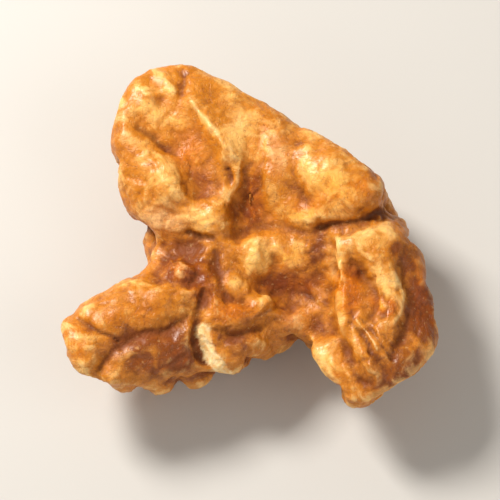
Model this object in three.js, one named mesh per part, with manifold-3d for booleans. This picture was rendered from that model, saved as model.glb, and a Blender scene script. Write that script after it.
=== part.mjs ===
// A shelled walnut kernel half, lying on its domed outer side with its inner face up.
//
// The kernel grew as one piece, so it is one solid. Its body is a few thick rounded lobes inside
// the dome of the shell that it grew in. Smaller folds swell from the lobes and hollows sink into
// them. All of these make one field that is negative inside the kernel, and the surface where the
// field is zero becomes a closed mesh of triangles. The mesh is then pressed in along its normals:
// by creases on the inner face, and by winding valleys that leave brain-like ribs on the domed side.
//
// Millimetres, +Z up. The origin is on the resting plane under the middle of the kernel.

import * as THREE from 'three';
import { ImprovedNoise } from 'three/addons/math/ImprovedNoise.js';
import { mergeVertices } from 'three/addons/utils/BufferGeometryUtils.js';
import Module from 'manifold-3d';

// Driving dimensions, in millimetres and degrees.
const cellSize = 0.605; // edge of the cubes that the surface is found in
const halfSpan = 16; // the field reaches this far from the origin along X and along Y
const fieldBottom = -1.2;
const fieldTop = 12.8;
const viewElevation = 70; // the places below were read off in a picture taken from this height
const viewHeight = 8; // a point this high stays where the picture shows it
const dome = { x: 0.4, y: 0.2, centreHeight: 9.6, across: 16.6, deep: 9.6 }; // inside of the shell
const footDepth = 0.4; // how far the lowest ribs are worn flat where the kernel rests
const relaxRounds = 3;
const normalRounds = 2;
const untangleRounds = 8;
const tangleLimit = 0.25; // a quad turned further than this from an outward normal is evened out
const finalEvening = 0.6; // share of one last round of evening out
const probe = 0.12; // step that slopes are measured over

// Lobes, folds and hollows are tubes along smooth curves. Each point of a path is [right, up,
// height]: millimetres right and up in the picture plane, and the height of the tube's centre over
// the resting plane. The radius runs evenly through the values given for it.
const lobes = [
  { name: 'upper left lobe', path: [[-5.4, 8.0, 6.1], [-5.2, 4.6, 5.9]], radius: [4.4, 4.3] },
  {
    name: 'long wing',
    path: [
      [-2.4, 7.8, 6.4], [1.0, 6.4, 6.5], [5.0, 3.4, 6.6], [8.5, -0.4, 6.2], [9.6, -5.2, 5.8],
      [9.3, -8.4, 5.6],
    ],
    radius: [3.0, 3.2, 3.4, 3.3, 3.4, 3.7],
  },
  {
    name: 'body under the wing',
    path: [[-3.4, 6.0, 4.4], [2.0, 3.6, 4.0], [6.2, 0.4, 4.2], [7.8, -5.6, 5.0]],
    radius: [4.2, 4.6, 4.4, 3.8],
  },
  { name: 'middle', path: [[-3.6, 0.4, 4.2], [0.6, -1.8, 3.6], [4.4, -3.0, 3.8]], radius: [4.2, 4.2, 3.8] },
  { name: 'lower middle', path: [[-1.8, -3.4, 4.2], [-1.0, -6.2, 4.5]], radius: [4.0, 3.4] },
  { name: 'floor of the notch', path: [[0.6, -5.4, 3.6], [4.2, -4.9, 3.6]], radius: [2.9, 2.8] },
  {
    name: 'broken wing',
    path: [[-4.2, -5.0, 4.8], [-7.6, -6.4, 5.0], [-11.2, -8.0, 5.5]],
    radius: [4.2, 3.9, 3.4],
  },
  {
    name: 'torn side of the broken wing',
    path: [[-4.6, -7.9, 4.8], [-8.0, -8.8, 4.9], [-11.3, -9.3, 5.3]],
    radius: [3.1, 3.0, 2.9],
  },
];

const folds = [
  {
    name: 'rim of the upper left lobe',
    path: [
      [-1.6, 9.7, 8.0], [-4.6, 10.9, 8.3], [-7.2, 10.4, 8.4], [-8.3, 7.9, 8.5], [-8.3, 5.4, 8.2],
      [-7.6, 3.3, 7.6],
    ],
    radius: [1.8, 1.8, 1.9, 1.7, 1.5, 1.4],
  },
  {
    name: 'inner ridge beside the hollow',
    path: [
      [-4.1, 9.9, 8.8], [-2.9, 8.4, 9.1], [-1.9, 6.9, 9.2], [-1.3, 5.2, 8.9], [-1.5, 3.4, 8.5],
      [-2.8, 1.9, 8.1],
    ],
    radius: [1.2, 1.3, 1.3, 1.2, 1.1, 1.3],
  },
  {
    name: 'flank beside the ridge',
    path: [[-1.2, 8.8, 7.9], [-0.4, 6.9, 8.0], [-0.3, 5.0, 7.9]],
    radius: [2.0, 1.8, 1.4],
  },
  { name: 'swelling in the lobe', path: [[-6.8, 4.9, 7.9], [-5.8, 3.9, 8.0]], radius: [2.2, 2.4] },
  {
    name: 'lower rim of the lobe',
    path: [[-6.9, 2.2, 6.9], [-5.0, 1.1, 6.9], [-3.1, 1.5, 7.7]],
    radius: [1.8, 1.8, 1.7],
  },
  {
    name: 'shoulder of the wing',
    path: [[0.6, 8.3, 7.7], [1.7, 6.6, 8.1], [2.1, 4.7, 8.1], [2.1, 3.2, 7.7]],
    radius: [1.9, 2.0, 1.8, 1.5],
  },
  {
    name: 'crest of the wing',
    path: [[4.0, 6.0, 8.0], [6.0, 4.3, 8.4], [7.6, 3.1, 8.4]],
    radius: [2.1, 2.6, 2.4],
  },
  {
    name: 'fold inside the crest',
    path: [[2.8, 2.0, 7.3], [4.6, 1.6, 7.9], [5.8, 2.2, 8.3]],
    radius: [1.3, 1.4, 1.4],
  },
  {
    name: 'fold below the crease',
    path: [[6.3, -0.6, 8.4], [8.0, -0.3, 8.5], [9.9, -0.5, 8.1], [11.0, -1.4, 7.3]],
    radius: [1.4, 1.6, 1.6, 1.4],
  },
  {
    name: 'inner edge of the wing',
    path: [[6.4, -0.8, 8.3], [6.7, -2.8, 8.1], [6.9, -4.9, 7.7], [7.3, -7.0, 7.2]],
    radius: [1.2, 1.1, 1.1, 1.3],
  },
  {
    name: 'hooked fold',
    path: [[8.4, -0.9, 8.3], [9.5, -2.4, 8.1], [9.9, -4.3, 7.8], [9.6, -6.1, 7.5], [8.8, -7.8, 7.1]],
    radius: [1.4, 1.6, 1.7, 1.7, 1.5],
  },
  {
    name: 'outer edge of the wing',
    path: [[11.0, -2.6, 6.5], [11.8, -5.2, 6.2], [12.0, -8.3, 6.1], [11.0, -10.3, 5.8], [8.8, -10.8, 5.6]],
    radius: [1.6, 1.8, 2.1, 2.1, 1.9],
  },
  {
    name: 'fold beside the notch',
    path: [[5.6, -7.9, 6.6], [6.5, -9.4, 6.5], [7.6, -10.6, 6.2]],
    radius: [1.3, 1.4, 1.5],
  },
  { name: 'low fold at the wing end', path: [[8.6, -9.0, 7.2], [10.6, -8.3, 7.1]], radius: [1.3, 1.4] },
  { name: 'germ', path: [[-0.9, -2.6, 6.9], [0.4, -1.0, 7.2], [1.0, -0.3, 7.2]], radius: [1.0, 1.4, 1.2] },
  { name: 'collar of the germ', path: [[2.0, -0.4, 7.0], [3.8, -0.9, 6.8]], radius: [1.4, 1.3] },
  { name: 'bridge to the lobe', path: [[-2.6, 1.0, 7.6], [-1.5, -0.9, 7.1]], radius: [1.4, 1.2] },
  { name: 'swelling in the left notch', path: [[-5.6, -1.6, 6.2], [-4.0, -1.8, 6.6]], radius: [1.5, 1.5] },
  { name: 'knob below the pit', path: [[1.9, -5.4, 5.6], [3.9, -5.9, 5.3]], radius: [1.6, 1.5] },
  { name: 'fold in the lower middle', path: [[0.4, -4.9, 6.5], [-1.8, -5.6, 6.6]], radius: [1.6, 1.7] },
  { name: 'tip of the lower middle', path: [[-0.4, -6.9, 6.0], [-1.2, -8.2, 5.6]], radius: [1.7, 1.6] },
  {
    name: 'upper fold of the broken wing',
    path: [[-3.9, -3.1, 6.8], [-6.4, -4.2, 7.0], [-9.4, -5.5, 7.0], [-11.8, -7.0, 6.8], [-12.5, -8.4, 6.3]],
    radius: [1.7, 1.9, 2.0, 1.9, 1.7],
  },
  {
    name: 'lower fold of the broken wing',
    path: [[-4.2, -7.0, 5.8], [-6.4, -8.3, 5.8], [-8.8, -9.2, 5.5], [-11.0, -9.8, 5.3]],
    radius: [2.0, 2.1, 1.9, 1.7],
  },
];

const hollows = [
  {
    name: 'hollow of the lobe',
    path: [[-5.7, 9.3, 11.4], [-4.6, 7.6, 11.3], [-3.6, 5.6, 11.1], [-3.3, 3.8, 10.9]],
    radius: [1.5, 2.0, 1.7, 1.2],
  },
  {
    name: 'pit in the middle',
    path: [[1.4, -3.1, 7.9], [3.0, -3.5, 7.6], [4.3, -3.1, 7.8]],
    radius: [1.0, 1.4, 1.1],
  },
  {
    name: 'valley between lobe and wing',
    path: [[0.4, 4.6, 10.9], [0.3, 3.0, 9.9], [0.2, 1.8, 9.1]],
    radius: [0.6, 1.3, 1.2],
  },
  {
    name: 'gap inside the wing',
    path: [[4.9, -0.6, 8.9], [5.1, -2.8, 8.5], [4.9, -5.8, 7.9]],
    radius: [0.8, 0.9, 1.1],
  },
  { name: 'hollow inside the hook', path: [[7.6, -2.4, 10.1], [7.9, -4.4, 9.8]], radius: [0.9, 0.9] },
  {
    name: 'left notch',
    path: [[-9.4, -0.6, 8.6], [-7.0, -0.7, 8.4], [-4.4, -0.5, 8.6]],
    radius: [1.7, 1.3, 0.9],
  },
];

// Creases sink into the inner face and ridges stand on it. Each point is [right, up] in the
// picture plane, `half` is half the width of the mark, and `deep` or `tall` is how far it goes.
const creases = [
  { name: 'curl in the rim', path: [[-7.0, 11.5], [-6.5, 10.9], [-6.3, 9.8]], half: 0.8, deep: 0.35 },
  { name: 'nick in the rim', path: [[-4.9, 11.8], [-4.8, 10.6]], half: 0.7, deep: 0.25 },
  {
    name: 'ear crease',
    path: [[-8.0, 8.2], [-7.0, 7.6], [-6.0, 6.7], [-4.8, 6.0], [-4.1, 4.9], [-3.8, 3.6]],
    half: 1.0,
    deep: 0.45,
  },
  { name: 'line on the swelling', path: [[-8.7, 4.7], [-7.4, 4.3], [-6.6, 3.3]], half: 0.7, deep: 0.2 },
  { name: 'comma pit', path: [[-1.4, 4.9], [-1.3, 4.2]], half: 0.8, deep: 0.5 },
  { name: 'valley line', path: [[0.8, 8.0], [0.4, 6.0], [0.1, 4.2], [0.2, 2.4]], half: 1.2, deep: 0.3 },
  { name: 'shoulder line', path: [[3.4, 7.6], [3.1, 6.0], [3.3, 4.2], [3.9, 2.8]], half: 1.2, deep: 0.25 },
  {
    name: 'crease across the wing',
    path: [[5.0, 0.7], [6.8, 0.9], [8.4, 1.5], [10.8, 2.4]],
    half: 0.9,
    deep: 0.6,
  },
  {
    name: 'inside of the hook',
    path: [[7.5, -1.9], [8.6, -3.4], [8.9, -5.0], [8.3, -6.4]],
    half: 0.8,
    deep: 0.4,
  },
  {
    name: 'beside the outer edge',
    path: [[10.9, -2.4], [11.4, -4.4], [11.0, -6.8], [9.9, -8.6]],
    half: 1.0,
    deep: 0.3,
  },
  { name: 'line across the wing end', path: [[7.2, -5.7], [8.4, -7.2], [9.8, -9.4]], half: 0.7, deep: 0.3 },
  {
    name: 'line beside the notch fold',
    path: [[6.4, -6.8], [7.2, -8.6], [8.2, -10.0]],
    half: 0.9,
    deep: 0.45,
  },
  {
    name: 'line round the germ',
    path: [[-2.3, -0.8], [-2.1, -2.8], [-1.4, -4.1], [0.6, -4.2]],
    half: 0.8,
    deep: 0.3,
  },
  {
    name: 'line above the germ',
    path: [[-0.8, 0.4], [1.2, 1.0], [3.2, 0.7], [5.0, 0.3]],
    half: 0.8,
    deep: 0.3,
  },
  { name: 'line through the collar', path: [[1.5, 0.4], [1.4, -0.8], [1.9, -1.8]], half: 0.7, deep: 0.4 },
  {
    name: 'line down the lower middle',
    path: [[-3.0, -3.6], [-3.5, -6.0], [-3.0, -8.6]],
    half: 0.9,
    deep: 0.7,
  },
  {
    name: 'line across the lower middle',
    path: [[-2.6, -6.6], [-0.8, -6.9], [0.9, -6.2]],
    half: 0.8,
    deep: 0.35,
  },
  {
    name: 'groove of the broken wing',
    path: [[-3.9, -4.8], [-5.4, -6.3], [-7.6, -6.6], [-9.6, -7.9], [-10.7, -9.6]],
    half: 1.1,
    deep: 0.55,
  },
  {
    name: 'nick in the broken wing',
    path: [[-12.6, -5.2], [-11.4, -6.2], [-10.2, -6.9]],
    half: 0.8,
    deep: 0.3,
  },
  { name: 'line at the wing root', path: [[-6.8, -2.6], [-5.0, -3.0], [-3.4, -2.6]], half: 0.8, deep: 0.4 },
];

const ridges = [
  {
    name: 'edge of the hollow',
    path: [[-4.1, 9.8], [-3.1, 8.6], [-2.2, 7.3], [-1.6, 6.1]],
    half: 0.8,
    tall: 0.3,
  },
  { name: 'bead in the collar', path: [[4.4, -0.5], [4.8, -0.8]], half: 0.8, tall: 0.45 },
  { name: 'bead at the pit', path: [[0.8, -4.2], [1.3, -4.3]], half: 0.8, tall: 0.4 },
  { name: 'bead on the wing root', path: [[-5.3, -1.9], [-4.6, -2.2]], half: 0.8, tall: 0.45 },
];

// How softly the pieces of the surface run into each other, in millimetres.
const lobeBlend = 1.6;
const foldBlend = 0.8;
const hollowBlend = 0.9;
const domeBlend = 1.6;

// Valleys that leave ribs on the domed side. They lie where a sum of plane waves is zero, and the
// waves that run round the dome are the strongest, so that most ribs run from its rim to its foot.
const ribs = { waveLength: 5.6, share: 1.5, sharpness: 2.2, deep: 1.15 };
const inner = { waveLength: 3.9, share: 0, sharpness: 2, deep: 0.2 }; // faint folds on the inner face
const waveCount = 26;
const waveStart = 1.7; // sets where each wave starts, in radians
const goldenAngle = Math.PI * (3 - Math.sqrt(5));
const ribsFadeFrom = 0.05; // by the upward part of the surface normal
const ribsFadeTo = 0.65;
const swellDepth = 0.45; // broad unevenness
const swellCells = 0.21; // noise cells per millimetre

const noise = new ImprovedNoise();
const tilt = THREE.MathUtils.degToRad(viewElevation);

// A point seen `right` and `up` in the picture plane at a known height, in the kernel's own frame.
function seenAt([right, up, height]) {
  return new THREE.Vector3(right, (up - (height - viewHeight) * Math.cos(tilt)) / Math.sin(tilt), height);
}

// The short straight stretches that a smooth curve is measured by.
function stretchesOf(points, radiusAt) {
  const curve = new THREE.CatmullRomCurve3(points, false, 'centripetal');
  const count = points.length === 2 ? 2 : (points.length - 1) * 4;
  return Array.from({ length: count }, (_, i) => {
    const start = curve.getPoint(i / count);
    const along = curve.getPoint((i + 1) / count).sub(start);
    const startRadius = radiusAt(i / count);
    return {
      start, along, startRadius,
      lengthSquared: Math.max(along.lengthSq(), 1e-9),
      growth: radiusAt((i + 1) / count) - startRadius,
    };
  });
}

// A tube with its box, which tells where it matters.
function tubeOf({ path, radius }) {
  const radiusAt = (share) => {
    const place = share * (radius.length - 1);
    const before = Math.min(Math.floor(place), radius.length - 2);
    return THREE.MathUtils.lerp(radius[before], radius[before + 1], place - before);
  };
  const stretches = stretchesOf(path.map(seenAt), radiusAt);
  const ends = stretches.flatMap((s) => [s.start, s.start.clone().add(s.along)]);
  return { stretches, box: new THREE.Box3().setFromPoints(ends).expandByScalar(Math.max(...radius)) };
}

// A mark on the inner face, laid flat in the picture plane.
function markOf({ path, half, deep = 0, tall = 0 }) {
  const stretches = stretchesOf(path.map(([right, up]) => new THREE.Vector3(right, up, 0)), () => 0);
  const ends = stretches.flatMap((s) => [s.start, s.start.clone().add(s.along)]);
  return { stretches, half, deep, tall, box: new THREE.Box3().setFromPoints(ends).expandByScalar(half) };
}

// Distance from a point to the surface of a tube, negative inside it.
function tubeDistance({ stretches }, x, y, z) {
  let nearest = Infinity;
  for (const { start, along, lengthSquared, startRadius, growth } of stretches) {
    const [dx, dy, dz] = [x - start.x, y - start.y, z - start.z];
    const share = Math.min(1, Math.max(0, (dx * along.x + dy * along.y + dz * along.z) / lengthSquared));
    const gap = Math.hypot(dx - along.x * share, dy - along.y * share, dz - along.z * share);
    nearest = Math.min(nearest, gap - startRadius - growth * share);
  }
  return nearest;
}

function smoothUnion(a, b, blend) {
  const share = Math.max(blend - Math.abs(a - b), 0) / blend;
  return Math.min(a, b) - (share * share * blend) / 4;
}

function smoothCut(a, b, blend) {
  return -smoothUnion(-a, b, blend);
}

function isFar({ min, max }, x, y, z, reach) {
  return x < min.x - reach || x > max.x + reach || y < min.y - reach || y > max.y + reach
    || z < min.z - reach || z > max.z + reach;
}

// Distance to the inside of the shell, negative inside it.
function domeDistance(x, y, z) {
  if (z > dome.centreHeight) return -dome.deep;
  const a = (x - dome.x) / dome.across;
  const b = (y - dome.y) / dome.across;
  const c = (z - dome.centreHeight) / dome.deep;
  const size = Math.hypot(a, b, c);
  const slope = Math.hypot(a / dome.across, b / dome.across, c / dome.deep) / Math.max(size, 1e-6);
  return (size - 1) / Math.max(slope, 1e-3);
}

const waves = Array.from({ length: waveCount }, (_, i) => {
  const rise = 1 - (2 * i + 1) / waveCount;
  const spread = Math.sqrt(1 - rise * rise);
  const turn = i * goldenAngle;
  return {
    direction: new THREE.Vector3(spread * Math.cos(turn), spread * Math.sin(turn), rise),
    start: waveStart * i * i,
  };
});

// Depth of the winding valleys at a point.
function valleyDepth({ waveLength, share, sharpness, deep }, { x, y, z }) {
  const reach = Math.hypot(x - dome.x, y - dome.y);
  const bias = share * THREE.MathUtils.smoothstep(reach, 1.5, 6);
  const [roundX, roundY] = [-(y - dome.y) / Math.max(reach, 1e-3), (x - dome.x) / Math.max(reach, 1e-3)];
  let sum = 0;
  let power = 0;
  for (const { direction, start } of waves) {
    const weight = Math.abs(direction.x * roundX + direction.y * roundY) ** bias;
    const along = direction.x * x + direction.y * y + direction.z * z;
    sum += weight * Math.cos((2 * Math.PI * along) / waveLength + start);
    power += (weight * weight) / 2;
  }
  return deep / (1 + (sharpness * sum) ** 2 / power);
}

// How far the surface is pressed in at a point with a given outward normal.
function relief(point, normal, marks) {
  const { x, y, z } = point;
  const onDome = 1 - THREE.MathUtils.smoothstep(normal.z, ribsFadeFrom, ribsFadeTo);
  const swell = noise.noise(x * swellCells + 3.1, y * swellCells + 7.7, z * swellCells + 0.6);
  const valleys = onDome * valleyDepth(ribs, point) + (1 - onDome) * valleyDepth(inner, point);

  const up = y * Math.sin(tilt) + (z - viewHeight) * Math.cos(tilt);
  const onFace = THREE.MathUtils.smoothstep(normal.z, -0.1, 0.3) * THREE.MathUtils.smoothstep(z, 3.5, 5);
  let sunk = 0;
  let raised = 0;
  for (const mark of marks) {
    if (onFace === 0 || isFar(mark.box, x, up, 0, 0)) continue;
    const share = tubeDistance(mark, x, up, 0) / mark.half;
    if (share >= 1) continue;
    const shape = onFace * (1 - share * share) ** 2;
    sunk = Math.max(sunk, mark.deep * shape);
    raised = Math.max(raised, mark.tall * shape);
  }
  return valleys + swellDepth * onDome * swell + sunk - raised;
}

// The kernel's field: about the distance to its surface, negative inside.
function kernelField(parts) {
  return (x, y, z) => {
    let d = Infinity;
    for (const tube of parts.lobes) {
      const near = tubeDistance(tube, x, y, z);
      d = d === Infinity ? near : smoothUnion(d, near, lobeBlend);
    }
    if (d > 4) return d;
    for (const tube of parts.folds)
      if (!isFar(tube.box, x, y, z, 1)) d = smoothUnion(d, tubeDistance(tube, x, y, z), foldBlend);
    for (const tube of parts.hollows)
      if (!isFar(tube.box, x, y, z, 2)) d = smoothCut(d, tubeDistance(tube, x, y, z), hollowBlend);
    return smoothCut(d, -domeDistance(x, y, z), domeBlend);
  };
}

// One vertex for each cube of the grid that the surface passes through, joined into quads.
function surfaceOf(field) {
  const across = Math.round((2 * halfSpan) / cellSize) + 1;
  const high = Math.round((fieldTop - fieldBottom) / cellSize) + 1;
  const placeOf = (i, j, k) => [i * cellSize - halfSpan, j * cellSize - halfSpan, k * cellSize + fieldBottom];
  const indexOf = (i, j, k) => i + across * (j + across * k);
  const values = new Float32Array(across * across * high);
  for (let k = 0; k < high; k++)
    for (let j = 0; j < across; j++)
      for (let i = 0; i < across; i++) values[indexOf(i, j, k)] = field(...placeOf(i, j, k));

  const corners = [[0, 0, 0], [1, 0, 0], [0, 1, 0], [1, 1, 0], [0, 0, 1], [1, 0, 1], [0, 1, 1], [1, 1, 1]];
  const edges = [];
  corners.forEach((a, m) => corners.forEach((b, n) => {
    const apart = Math.abs(a[0] - b[0]) + Math.abs(a[1] - b[1]) + Math.abs(a[2] - b[2]);
    if (m < n && apart === 1) edges.push([m, n]);
  }));
  const vertexOf = new Int32Array(values.length).fill(-1);
  const vertices = [];
  for (let k = 0; k < high - 1; k++)
    for (let j = 0; j < across - 1; j++)
      for (let i = 0; i < across - 1; i++) {
        const near = corners.map(([a, b, c]) => values[indexOf(i + a, j + b, k + c)]);
        const crossed = edges.filter(([m, n]) => near[m] < 0 !== near[n] < 0);
        if (!crossed.length) continue;
        const sum = new THREE.Vector3();
        for (const [m, n] of crossed) {
          const from = new THREE.Vector3(...corners[m]);
          sum.add(from.lerp(new THREE.Vector3(...corners[n]), near[m] / (near[m] - near[n])));
        }
        vertexOf[indexOf(i, j, k)] = vertices.length;
        sum.multiplyScalar(cellSize / crossed.length);
        vertices.push(sum.add(new THREE.Vector3(...placeOf(i, j, k))));
      }

  const quads = [];
  const steps = [[1, 0, 0], [0, 1, 0], [0, 0, 1]];
  for (let k = 1; k < high - 1; k++)
    for (let j = 1; j < across - 1; j++)
      for (let i = 1; i < across - 1; i++)
        steps.forEach(([a, b, c], axis) => {
          const here = values[indexOf(i, j, k)] < 0;
          const there = values[indexOf(i + a, j + b, k + c)] < 0;
          if (here === there) return;
          const [p, q] = [steps[(axis + 1) % 3], steps[(axis + 2) % 3]];
          const ring = [[0, 0], [1, 0], [1, 1], [0, 1]].map(([m, n]) =>
            vertexOf[indexOf(i - m * p[0] - n * q[0], j - m * p[1] - n * q[1], k - m * p[2] - n * q[2])]);
          quads.push(here ? ring : ring.reverse());
        });
  return { vertices, quads };
}

// Which way the field rises fastest, and how fast.
function slopeOf(field, { x, y, z }) {
  return new THREE.Vector3(
    field(x + probe, y, z) - field(x - probe, y, z),
    field(x, y + probe, z) - field(x, y - probe, z),
    field(x, y, z + probe) - field(x, y, z - probe),
  ).divideScalar(2 * probe);
}

// For every vertex, the vertices that share a quad's edge with it.
function neighboursOf(vertices, quads) {
  const neighbours = vertices.map(() => new Set());
  for (const ring of quads)
    ring.forEach((v, n) => {
      neighbours[v].add(ring[(n + 1) % 4]);
      neighbours[v].add(ring[(n + 3) % 4]);
    });
  return neighbours;
}

// Each vertex halfway to the middle of its neighbours.
function evened(vertices, neighbours) {
  return vertices.map((v, index) => {
    const middle = new THREE.Vector3();
    for (const other of neighbours[index]) middle.add(vertices[other]);
    return middle.divideScalar(neighbours[index].size).lerp(v, 0.5);
  });
}

// Evens out the vertices along the surface, then pulls each one back onto it.
function relax(vertices, neighbours, field) {
  evened(vertices, neighbours).forEach((p, index) => {
    const slope = slopeOf(field, p);
    const steep = Math.max(slope.lengthSq(), 0.5);
    slope.multiplyScalar(-field(p.x, p.y, p.z) / steep).clampLength(0, cellSize / 4);
    vertices[index].copy(p).add(slope);
  });
}

// Evens out only the places where a quad has turned away from its vertices' outward normals.
function untangle(vertices, quads, neighbours, normals) {
  const tangled = new Set();
  for (const ring of quads) {
    const [a, b, c, d] = ring.map((v) => vertices[v]);
    const facing = c.clone().sub(a).cross(d.clone().sub(b)).normalize();
    if (ring.every((v) => facing.dot(normals[v]) > tangleLimit)) continue;
    for (const v of ring) {
      tangled.add(v);
      for (const other of neighbours[v]) tangled.add(other);
    }
  }
  const smoother = evened(vertices, neighbours);
  for (const v of tangled) vertices[v].copy(smoother[v]);
}

// Triangles of the quads, each cut along its shorter diagonal.
function geometryOf(vertices, quads) {
  const index = quads.flatMap(([a, b, c, d]) =>
    vertices[a].distanceToSquared(vertices[c]) < vertices[b].distanceToSquared(vertices[d])
      ? [a, b, c, a, c, d] : [a, b, d, b, c, d]);
  const geometry = new THREE.BufferGeometry().setFromPoints(vertices);
  geometry.setIndex(index);
  return geometry;
}

function solidOf(wasm, geometry) {
  const bare = geometry.clone();
  bare.deleteAttribute('normal');
  bare.deleteAttribute('uv');
  const merged = mergeVertices(bare, 1e-4);
  return new wasm.Manifold(new wasm.Mesh({
    numProp: 3,
    vertProperties: merged.attributes.position.array,
    triVerts: new Uint32Array(merged.index.array),
  }));
}

function geometryFrom(solid) {
  const mesh = solid.getMesh();
  const geometry = new THREE.BufferGeometry();
  geometry.setAttribute('position', new THREE.BufferAttribute(new Float32Array(mesh.vertProperties), 3));
  geometry.setIndex(new THREE.BufferAttribute(new Uint32Array(mesh.triVerts), 1));
  geometry.computeVertexNormals();
  return geometry;
}

const wasm = await Module();
wasm.setup();

const field = kernelField({
  lobes: lobes.map(tubeOf),
  folds: folds.map(tubeOf),
  hollows: hollows.map(tubeOf),
});
const marks = [...creases, ...ridges].map(markOf);
const { vertices, quads } = surfaceOf(field);
const neighbours = neighboursOf(vertices, quads);
for (let round = 0; round < relaxRounds; round++) relax(vertices, neighbours, field);
let normals = vertices.map((vertex) => slopeOf(field, vertex).normalize());
for (let round = 0; round < normalRounds; round++)
  normals = evened(normals, neighbours).map((normal) => normal.normalize());
vertices.forEach((vertex, i) => vertex.addScaledVector(normals[i], -relief(vertex, normals[i], marks)));
for (let round = 0; round < untangleRounds; round++) untangle(vertices, quads, neighbours, normals);
evened(vertices, neighbours).forEach((place, i) => vertices[i].lerp(place, finalEvening));

// The lowest ribs are worn flat, and the flats lie on the resting plane. Crumbs are dropped.
const bounds = new THREE.Box3().setFromPoints(vertices);
const middle = bounds.getCenter(new THREE.Vector3());
const shaped = geometryOf(vertices, quads).translate(-middle.x, -middle.y, -bounds.min.z - footDepth);
const below = new THREE.BoxGeometry(4 * halfSpan, 4 * halfSpan, 10).translate(0, 0, -5);
const pieces = solidOf(wasm, shaped).subtract(solidOf(wasm, below)).decompose();
const kernelSolid = pieces.reduce((most, piece) => (piece.volume() > most.volume() ? piece : most));

const skin = new THREE.MeshStandardMaterial({ color: 0xc98a45, roughness: 0.5, metalness: 0 });
const kernel = new THREE.Mesh(geometryFrom(kernelSolid), skin);
kernel.name = 'walnut_kernel';

const walnut = new THREE.Group();
walnut.add(kernel);
export default walnut;
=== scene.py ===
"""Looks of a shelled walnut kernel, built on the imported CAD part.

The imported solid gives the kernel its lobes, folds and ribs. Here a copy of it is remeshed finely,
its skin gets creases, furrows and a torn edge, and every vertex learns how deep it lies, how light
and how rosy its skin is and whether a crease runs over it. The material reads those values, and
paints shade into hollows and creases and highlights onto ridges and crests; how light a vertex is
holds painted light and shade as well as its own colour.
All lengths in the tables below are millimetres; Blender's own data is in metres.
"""

import logging
import math
from dataclasses import dataclass
from enum import Enum
from typing import Union

import bpy
import numpy as np
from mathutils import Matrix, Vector, noise

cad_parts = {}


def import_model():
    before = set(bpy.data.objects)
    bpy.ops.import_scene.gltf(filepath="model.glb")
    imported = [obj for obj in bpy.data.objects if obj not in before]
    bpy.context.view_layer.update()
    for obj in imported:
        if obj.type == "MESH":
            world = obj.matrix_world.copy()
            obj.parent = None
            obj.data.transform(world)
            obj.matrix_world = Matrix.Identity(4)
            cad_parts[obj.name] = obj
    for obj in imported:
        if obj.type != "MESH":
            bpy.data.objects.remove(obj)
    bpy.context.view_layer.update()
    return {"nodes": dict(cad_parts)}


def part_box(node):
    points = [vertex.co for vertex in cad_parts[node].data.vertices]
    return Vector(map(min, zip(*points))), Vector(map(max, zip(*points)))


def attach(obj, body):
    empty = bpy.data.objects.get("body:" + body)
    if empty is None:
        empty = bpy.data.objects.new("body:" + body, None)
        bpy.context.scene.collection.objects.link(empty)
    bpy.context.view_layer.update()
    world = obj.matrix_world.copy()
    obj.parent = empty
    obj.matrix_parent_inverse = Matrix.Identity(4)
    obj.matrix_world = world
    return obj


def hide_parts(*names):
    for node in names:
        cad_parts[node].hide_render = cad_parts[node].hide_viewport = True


LOG = logging.getLogger("walnut")
MM = 0.001
# The way in which a seed moves the noise.
SEED_WAY = (1.0, 1.7, -0.6)
# Steps between the seeds of the noises that one furrow reads.
BEND_SEED = 13.1
FURROW_SEED = 50.0

Array = np.ndarray
Point2 = tuple[float, float]
Point3 = tuple[float, float, float]
Colour = tuple[float, float, float, float]
Socket = bpy.types.NodeSocket
Feed = Union[Socket, float, Colour]


class Layer(Enum):
    """Names of the values that each vertex carries for the material."""

    CAVITY = "cavity"
    TORN = "torn"
    TONE = "tone"
    BLUSH = "blush"
    LINE = "line"


class Character(Enum):
    """Names of a zone's characters."""

    TONE = "tone"
    BLUSH = "blush"
    CRUMPLE = "crumple"
    FILL = "fill"


@dataclass(frozen=True)
class PicturePlane:
    """Turns places on the kernel into places in the photograph's plane."""

    elevation: float = 70.0
    level: float = 8.0
    shift: Point3 = (0.093, 0.687, 0.528)

    def project(self, co: Array) -> Array:
        """Gives the place of each point in the picture plane.

        Args:
            co: Points in millimetres, one row each.

        Returns:
            One row [right, up] for each point.
        """
        tilt = math.radians(self.elevation)
        x, y, z = (co + np.array(self.shift)).T
        return np.column_stack((x, y * math.sin(tilt) + (z - self.level) * math.cos(tilt)))


@dataclass(frozen=True)
class Line:
    """A line on the inner face: above 0 depth sunk with painted shade, below 0 raised with a painted
    highlight.
    """

    name: str
    path: tuple[Point2, ...]
    half: float
    depth: float


@dataclass(frozen=True)
class Zone:
    """A soft patch of the inner face with a character of its own.

    The tone is lighter above 0 and darker below, the blush is rosy above 0 and orange below, the
    skin is more crumpled above 0 and smoother below, and hollows are filled up by fill. Lightness
    here mixes the zone's own colour with painted light and shade: painted highlights on lit ridges
    and beads, painted shade on sides turned away from the light.
    """

    name: str
    centre: Point2
    reach: Point2
    tone: float = 0.0
    blush: float = 0.0
    crumple: float = 0.0
    fill: float = 0.0


# Sunk lines also get painted shade, raised lines a painted highlight.
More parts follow.
